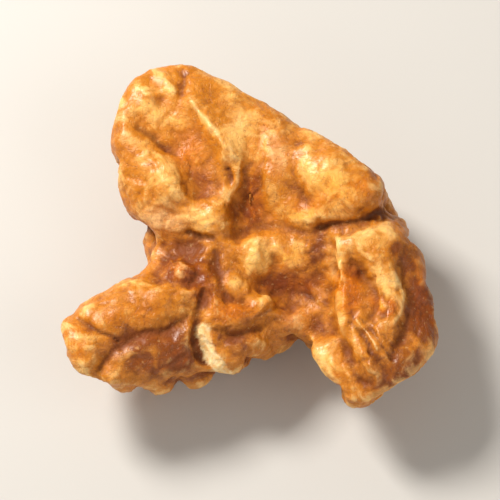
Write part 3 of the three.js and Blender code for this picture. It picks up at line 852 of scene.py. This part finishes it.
@dataclass
class NodeBoard:
    """Adds nodes to a shader tree and joins them."""

    tree: bpy.types.NodeTree

    def add(self, kind: str, inputs: dict | None = None, **settings: object) -> bpy.types.Node:
        """Adds one node.

        Args:
            kind: The node's Blender type.
            inputs: Values or output sockets by input name or index.
            settings: Properties of the node.

        Returns:
            The node.
        """
        node = self.tree.nodes.new(kind)
        for name, value in settings.items():
            setattr(node, name, value)
        for name, value in (inputs or {}).items():
            if isinstance(value, Socket):
                self.tree.links.new(value, node.inputs[name])
            else:
                node.inputs[name].default_value = value
        return node

    def math(self, operation: str, a: Feed, b: Feed = 0.0, clamp: bool = False) -> Socket:
        """Returns the result of a Math node on two values."""
        node = self.add("ShaderNodeMath", {0: a, 1: b}, operation=operation, use_clamp=clamp)
        return node.outputs[0]

    def around(self, value: Feed, gain: float) -> Socket:
        """Returns how far a value from 0 to 1 is from its middle, times a gain."""
        return self.math("MULTIPLY", self.math("SUBTRACT", value, 0.5), gain)

    def ramp(self, value: Feed, span: Span) -> Socket:
        """Returns a value from 0 to 1, or another range, that runs smoothly over a span."""
        inputs = {"Value": value} | span.inputs()
        return self.add("ShaderNodeMapRange", inputs, interpolation_type="SMOOTHSTEP").outputs["Result"]

    def mix(self, share: Feed, a: Feed, b: Feed) -> Socket:
        """Returns colour a with a share of colour b mixed in."""
        node = self.add("ShaderNodeMix", {0: share, 6: a, 7: b}, data_type="RGBA")
        return node.outputs[2]

    def noise(self, vector: Socket, pattern: Pattern) -> Socket:
        """Returns a noise from 0 to 1, read at a vector."""
        return self.add("ShaderNodeTexNoise", {"Vector": vector} | pattern.inputs()).outputs["Fac"]


def vein_group(detail: float = 2.0, winding: float = 1.4, steepness: float = 1.5) -> bpy.types.NodeTree:
    """Builds the shared group that draws thin winding veins.

    Args:
        detail: How many finer layers the noise has.
        winding: How much it winds.
        steepness: How steeply a vein fades to its sides.

    Returns:
        A group with inputs Vector, Scale and Width, and output Veins.
    """
    group = bpy.data.node_groups.new("SkinVeins", "ShaderNodeTree")
    group.interface.new_socket("Vector", in_out="INPUT", socket_type="NodeSocketVector")
    for name in ("Scale", "Width"):
        group.interface.new_socket(name, in_out="INPUT", socket_type="NodeSocketFloat")
    group.interface.new_socket("Veins", in_out="OUTPUT", socket_type="NodeSocketFloat")
    board = NodeBoard(group)
    entry = group.nodes.new("NodeGroupInput")
    leave = group.nodes.new("NodeGroupOutput")
    inputs = {"Vector": entry.outputs["Vector"], "Scale": entry.outputs["Scale"]}
    inputs |= {"Detail": detail, "Distortion": winding}
    field = board.add("ShaderNodeTexNoise", inputs).outputs["Fac"]
    away = board.math("ABSOLUTE", board.math("SUBTRACT", field, 0.5))
    line = board.math("DIVIDE", away, entry.outputs["Width"])
    veins = board.math("SUBTRACT", 1.0, board.math("MINIMUM", line, 1.0))
    group.links.new(board.math("POWER", veins, steepness), leave.inputs["Veins"])
    return group


@dataclass(frozen=True)
class Canvas:
    """What the parts of the skin's material share, with the place in millimetres."""

    board: NodeBoard
    place: Socket
    broad: Socket
    patchy: Socket
    group: bpy.types.NodeTree

    def layer(self, layer: Layer) -> Socket:
        """Returns the socket with one of the vertex values."""
        return self.board.add("ShaderNodeAttribute", attribute_name=layer.value).outputs["Fac"]

    def veins(self, veins: Veins) -> Socket:
        """Returns the socket with 1 on a vein and 0 off it."""
        inputs = {"Vector": self.place, "Scale": veins.scale, "Width": veins.width}
        return self.board.add("ShaderNodeGroup", inputs, node_tree=self.group).outputs["Veins"]


@dataclass(frozen=True)
class Shades:
    """One hue of the skin, from its darkest to its lightest."""

    dark: Colour
    middle: Colour
    light: Colour
    to_middle: Span = Span(-0.8, 0.05)
    to_light: Span = Span(-0.05, 0.8)

    def at(self, board: NodeBoard, lightness: Socket) -> Socket:
        """Returns the hue at a lightness from -1 to 1."""
        lower = board.mix(board.ramp(lightness, self.to_middle), self.dark, self.middle)
        return board.mix(board.ramp(lightness, self.to_light), lower, self.light)


@dataclass(frozen=True)
class SkinColour:
    """Colour of the whole skin.

    A gain is how strongly a value makes the skin lighter, darker or rosier. A span is where a
    colour comes in along a value, and how much of it. Besides the skin's own colours it paints
    shade into hollows and sunk lines, and highlights onto raised lines and crests.
    """

    canvas: Canvas
    tan: Shades = Shades(srgb(136, 68, 6), srgb(204, 124, 26), srgb(252, 192, 104))
    orange: Shades = Shades(srgb(138, 60, 0), srgb(208, 110, 2), srgb(250, 176, 44))
    rosy: Shades = Shades(srgb(130, 66, 20), srgb(202, 124, 54), srgb(248, 190, 124))
    # Dark colour for veins and specks, and for the painted shade in hollows.
    brown_and_shade: Colour = srgb(118, 56, 6)
    # Painted shade for sunk lines.
    crease_shade: Colour = srgb(68, 30, 6)
    # Cream for pale specks, and for painted highlights on raised lines and crests.
    cream: Colour = srgb(250, 216, 148)
    tone_and_shading_gain: float = 0.6
    broad_gain: float = 0.9
    patchy_gain: float = 2.4
    # Painted shade: how much darker the hollows are made.
    hollow_shade_gain: float = 0.8
    darker: float = 0.12
    blush_gain: float = 1.2
    to_orange: Span = Span(-0.1, -0.9, 0.0, 0.85)
    to_rosy: Span = Span(0.1, 0.9, 0.0, 0.85)
    # Painted shade: how far hollows are darkened.
    in_hollows: Span = Span(0.55, 0.95, 0.0, 0.5)
    long_veins: Veins = Veins(0.42, 0.035)
    on_long: Span = Span(0.35, 0.6, 0.05, 0.3)
    fine_veins: Veins = Veins(1.1, 0.045)
    on_fine: Span = Span(0.4, 0.62, 0.02, 0.2)
    speckle: Pattern = Pattern(3.4, 3.0, 0.6)
    dark_specks: Span = Span(0.6, 0.75, 0.0, 0.45)
    pale_specks: Span = Span(0.4, 0.26, 0.0, 0.2)
    # Pale crests, partly wear and partly painted highlight on edges that catch the light.
    worn_and_highlit_crests: Span = Span(0.3, 0.08, 0.0, 0.36)
    worn_and_highlit_patches: Span = Span(0.45, 0.6)
    # Painted shade on sunk lines and painted highlight on raised lines.
    shade_on_sunk_lines: Span = Span(0.1, 1.0, 0.0, 0.6)
    highlight_on_raised_lines: Span = Span(-0.05, -0.5, 0.0, 0.6)

    def build(self) -> Socket:
        """Builds the colour.

        Returns:
            The colour's socket.
        """
        board, canvas = self.canvas.board, self.canvas
        body = self.marked(self.hues())
        line = canvas.layer(Layer.LINE)
        # Painted shade along sunk lines, painted highlight along raised ones.
        body = board.mix(board.ramp(line, self.shade_on_sunk_lines), body, self.crease_shade)
        return board.mix(board.ramp(line, self.highlight_on_raised_lines), body, self.cream)

    def lightness(self) -> Socket:
        """Adds up what makes the skin lighter and darker, painted light and shade included.

        Returns:
            The socket with the lightness, mostly from -1 to 1.
        """
        board, canvas = self.canvas.board, self.canvas
        # The zones bring their own colour and their painted light and shade.
        light = board.math("MULTIPLY", canvas.layer(Layer.TONE), self.tone_and_shading_gain)
        light = board.math("ADD", light, board.around(canvas.broad, self.broad_gain))
        light = board.math("ADD", light, board.around(canvas.patchy, self.patchy_gain))
        # Painted shade: deeper places are made darker.
        hollows = board.around(canvas.layer(Layer.CAVITY), self.hollow_shade_gain)
        return board.math("SUBTRACT", board.math("SUBTRACT", light, hollows), self.darker)

    def hues(self) -> Socket:
        """Mixes the three hues of the skin.

        Returns:
            The mixed colour.
        """
        board, canvas = self.canvas.board, self.canvas
        light = self.lightness()
        wander = board.around(canvas.broad, self.blush_gain)
        blush = board.math("ADD", canvas.layer(Layer.BLUSH), wander)
        body = self.tan.at(board, light)
        body = board.mix(board.ramp(blush, self.to_orange), body, self.orange.at(board, light))
        return board.mix(board.ramp(blush, self.to_rosy), body, self.rosy.at(board, light))

    def marked(self, body: Socket) -> Socket:
        """Adds painted shade in hollows, dark veins, specks, and crests pale from wear and painted
        highlight.

        Args:
            body: The colour below them.

        Returns:
            The colour with the marks.
        """
        board, canvas = self.canvas.board, self.canvas
        cavity = canvas.layer(Layer.CAVITY)
        # Painted shade: hollows are darkened.
        body = board.mix(board.ramp(cavity, self.in_hollows), body, self.brown_and_shade)
        for veins, noise, span in (
            (self.long_veins, canvas.patchy, self.on_long),
            (self.fine_veins, canvas.broad, self.on_fine),
        ):
            share = board.math("MULTIPLY", canvas.veins(veins), board.ramp(noise, span))
            body = board.mix(share, body, self.brown_and_shade)
        speckle = board.noise(canvas.place, self.speckle)
        body = board.mix(board.ramp(speckle, self.dark_specks), body, self.brown_and_shade)
        body = board.mix(board.ramp(speckle, self.pale_specks), body, self.cream)
        # Pale crests, partly wear and partly painted highlight on edges that catch the light.
        crests = board.ramp(cavity, self.worn_and_highlit_crests)
        wear_and_highlight = board.math("MULTIPLY", crests, board.ramp(canvas.patchy, self.worn_and_highlit_patches))
        return board.mix(wear_and_highlight, body, self.cream)


@dataclass(frozen=True)
class SkinGloss:
    """The oily shine of the skin, duller in hollows and on bare flesh."""

    canvas: Canvas
    roughness: float = 0.44
    patchy_gain: float = 0.5
    flesh_gain: float = 0.3
    in_hollows: Span = Span(0.5, 0.9, 0.0, 0.25)
    specular: float = 0.35
    coat_roughness: float = 0.27
    coat_patches: Span = Span(0.3, 0.65, 0.1, 0.2)
    coat_crests: Span = Span(0.8, 0.4)

    def rough(self) -> Socket:
        """Builds the roughness.

        Returns:
            The roughness's socket.
        """
        board, canvas = self.canvas.board, self.canvas
        rough = board.math("ADD", board.around(canvas.patchy, self.patchy_gain), self.roughness)
        flesh = board.math("MULTIPLY", canvas.layer(Layer.TORN), self.flesh_gain)
        rough = board.math("ADD", rough, flesh, clamp=True)
        hollows = board.ramp(canvas.layer(Layer.CAVITY), self.in_hollows)
        return board.math("ADD", rough, hollows, clamp=True)

    def coat(self) -> Socket:
        """Builds the weight of the oil on the skin.

        Returns:
            The weight's socket.
        """
        board, canvas = self.canvas.board, self.canvas
        crests = board.ramp(canvas.layer(Layer.CAVITY), self.coat_crests)
        skin = board.math("SUBTRACT", 1.0, canvas.layer(Layer.TORN))
        whole = board.math("MULTIPLY", skin, crests)
        return board.math("MULTIPLY", whole, board.ramp(canvas.broad, self.coat_patches))


@dataclass(frozen=True)
class SkinRelief:
    """The finest wrinkles and grains, which only bend the normal."""

    canvas: Canvas
    grain: Pattern = Pattern(5.0, 3.0, 0.5)
    grain_gain: float = 0.3
    pucker: Pattern = Pattern(2.2, 2.0)
    pucker_gain: float = 0.6
    wrinkles: Veins = Veins(1.6, 0.05)
    wrinkle_gain: float = 0.5
    strength: float = 0.7
    height: float = 0.08

    def build(self) -> Socket:
        """Builds the bent normal.

        Returns:
            The normal's socket.
        """
        board, canvas = self.canvas.board, self.canvas
        grain = board.math("MULTIPLY", board.noise(canvas.place, self.grain), self.grain_gain)
        pucker = board.math("MULTIPLY", board.noise(canvas.place, self.pucker), self.pucker_gain)
        wrinkles = board.math("MULTIPLY", canvas.veins(self.wrinkles), self.wrinkle_gain)
        height = board.math("SUBTRACT", board.math("ADD", grain, pucker), wrinkles)
        inputs = {"Strength": self.strength, "Distance": self.height * MM, "Height": height}
        return board.add("ShaderNodeBump", inputs).outputs["Normal"]


@dataclass(frozen=True)
class SkinFinish:
    """The thin oily skin of the kernel, with pale flesh where it is torn.

    The glow is the light that passes through it: how much, how far red, green and blue of it
    reach, and the depth in millimetres.
    """

    broad: Pattern = Pattern(0.17, 3.0, 0.5, 0.4)
    patchy: Pattern = Pattern(0.6, 5.0, 0.62, 0.8)
    flesh: Colour = srgb(253, 226, 172)
    flesh_shade: Colour = srgb(240, 188, 118)
    mottling: Pattern = Pattern(2.4, 4.0)
    to_light: Span = Span(0.35, 0.65)
    glow: float = 0.12
    glow_reach: Point3 = (1.0, 0.5, 0.2)
    glow_depth: float = 0.8

    def build(self) -> bpy.types.Material:
        """Builds the material.

        Returns:
            The material, which reads Object coordinates and the vertex values.
        """
        material = bpy.data.materials.new("walnut_skin")
        material.use_nodes = True
        tree = material.node_tree
        tree.nodes.clear()
        board = NodeBoard(tree)
        canvas = self.canvas(board)
        torn = canvas.layer(Layer.TORN)
        skin = SkinColour(canvas).build()
        gloss = SkinGloss(canvas)
        shader = board.add(
            "ShaderNodeBsdfPrincipled",
            {
                "Base Color": board.mix(torn, skin, self.flesh_colour(canvas)),
                "Roughness": gloss.rough(),
                "Specular IOR Level": gloss.specular,
                "Coat Weight": gloss.coat(),
                "Coat Roughness": gloss.coat_roughness,
                "Subsurface Weight": self.glow,
                "Subsurface Radius": self.glow_reach,
                "Subsurface Scale": self.glow_depth * MM,
                "Normal": SkinRelief(canvas).build(),
            },
        )
        out = board.add("ShaderNodeOutputMaterial")
        tree.links.new(shader.outputs["BSDF"], out.inputs["Surface"])
        return material

    def canvas(self, board: NodeBoard) -> Canvas:
        """Builds what the parts of the material share.

        Args:
            board: The material's nodes.

        Returns:
            The place in millimetres, the noises and the vein group.
        """
        inputs = {0: board.add("ShaderNodeTexCoord").outputs["Object"], "Scale": 1 / MM}
        place = board.add("ShaderNodeVectorMath", inputs, operation="SCALE").outputs[0]
        broad = board.noise(place, self.broad)
        return Canvas(board, place, broad, board.noise(place, self.patchy), vein_group())

    def flesh_colour(self, canvas: Canvas) -> Socket:
        """Returns the mottled colour of the bare flesh."""
        mottling = canvas.board.noise(canvas.place, self.mottling)
        return canvas.board.mix(canvas.board.ramp(mottling, self.to_light), self.flesh_shade, self.flesh)


@dataclass(frozen=True)
class Lamp:
    """A square area light, in millimetres and watts."""

    name: str
    place: Point3
    size: float
    power: float
    colour: Point3


@dataclass(frozen=True)
class Studio:
    """Pale floor, soft lights and the camera, in millimetres and degrees."""

    elevation: float = 70.0
    aim: Point3 = (0.0, -0.6, 5.0)
    distance: float = 260.0
    width: float = 36.0
    sensor: float = 36.0
    nearest: float = 5.0
    floor_size: float = 4000.0
    floor_colour: Colour = (0.6, 0.59, 0.57, 1.0)
    floor_roughness: float = 0.7
    sky: Colour = (0.97, 0.91, 0.84, 1.0)
    sky_strength: float = 0.28
    lamps: tuple[Lamp, ...] = (
        Lamp("key", (-105.0, 85.0, 150.0), 55.0, 0.55, (1.0, 0.95, 0.88)),
        Lamp("fill", (140.0, -60.0, 120.0), 150.0, 0.09, (1.0, 0.94, 0.86)),
        Lamp("front", (-20.0, -170.0, 80.0), 140.0, 0.07, (1.0, 0.94, 0.87)),
    )

    def build(self) -> None:
        """Builds the floor, the lights and the camera."""
        self.floor()
        self.camera()
        self.world()
        for lamp in self.lamps:
            self.light(lamp)

    def floor(self) -> None:
        """Builds the pale floor."""
        bpy.ops.mesh.primitive_plane_add(size=self.floor_size * MM, location=(0.0, 0.0, 0.0))
        floor = bpy.context.object
        floor.name = "floor"
        material = bpy.data.materials.new("pale_floor")
        material.use_nodes = True
        shader = material.node_tree.nodes["Principled BSDF"]
        shader.inputs["Base Color"].default_value = self.floor_colour
        shader.inputs["Roughness"].default_value = self.floor_roughness
        floor.data.materials.append(material)

    def camera(self) -> None:
        """Builds the camera at the photograph's viewing angle."""
        tilt = math.radians(self.elevation)
        back = Vector((0.0, -math.cos(tilt), math.sin(tilt)))
        data = bpy.data.cameras.new("camera")
        data.sensor_width = self.sensor
        data.lens = self.sensor * self.distance / self.width
        data.clip_start = self.nearest * MM
        camera = bpy.data.objects.new("camera", data)
        bpy.context.scene.collection.objects.link(camera)
        camera.location = (Vector(self.aim) + back * self.distance) * MM
        camera.rotation_euler = (-back).to_track_quat("-Z", "Y").to_euler()
        bpy.context.scene.camera = camera

    def world(self) -> None:
        """Sets a plain pale surrounding."""
        bpy.context.scene.view_settings.view_transform = "Standard"
        world = bpy.data.worlds.new("studio")
        world.use_nodes = True
        background = world.node_tree.nodes["Background"]
        background.inputs["Color"].default_value = self.sky
        background.inputs["Strength"].default_value = self.sky_strength
        bpy.context.scene.world = world

    def light(self, lamp: Lamp) -> None:
        """Adds an area light that faces the kernel.

        Args:
            lamp: Where it stands and how it shines.
        """
        data = bpy.data.lights.new(lamp.name, "AREA")
        data.size = lamp.size * MM
        data.energy = lamp.power
        data.color = lamp.colour
        light = bpy.data.objects.new(lamp.name, data)
        bpy.context.scene.collection.objects.link(light)
        light.location = Vector(lamp.place) * MM
        gaze = Vector(self.aim) - Vector(lamp.place)
        light.rotation_euler = gaze.to_track_quat("-Z", "Y").to_euler()


def main() -> None:
    """Builds the kernel and its surroundings, in order."""
    logging.basicConfig(level=logging.INFO, format="%(name)s: %(message)s")
    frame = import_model()
    kernel = Kernel()
    piece = kernel.build(frame["nodes"][kernel.node])
    piece.data.materials.append(SkinFinish().build())
    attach(piece, "root")
    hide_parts(kernel.node)
    LOG.info("kernel: %d faces", len(piece.data.polygons))
    Studio().build()
    LOG.info("studio: floor, camera and lights")


if __name__ == "__main__":
    main()
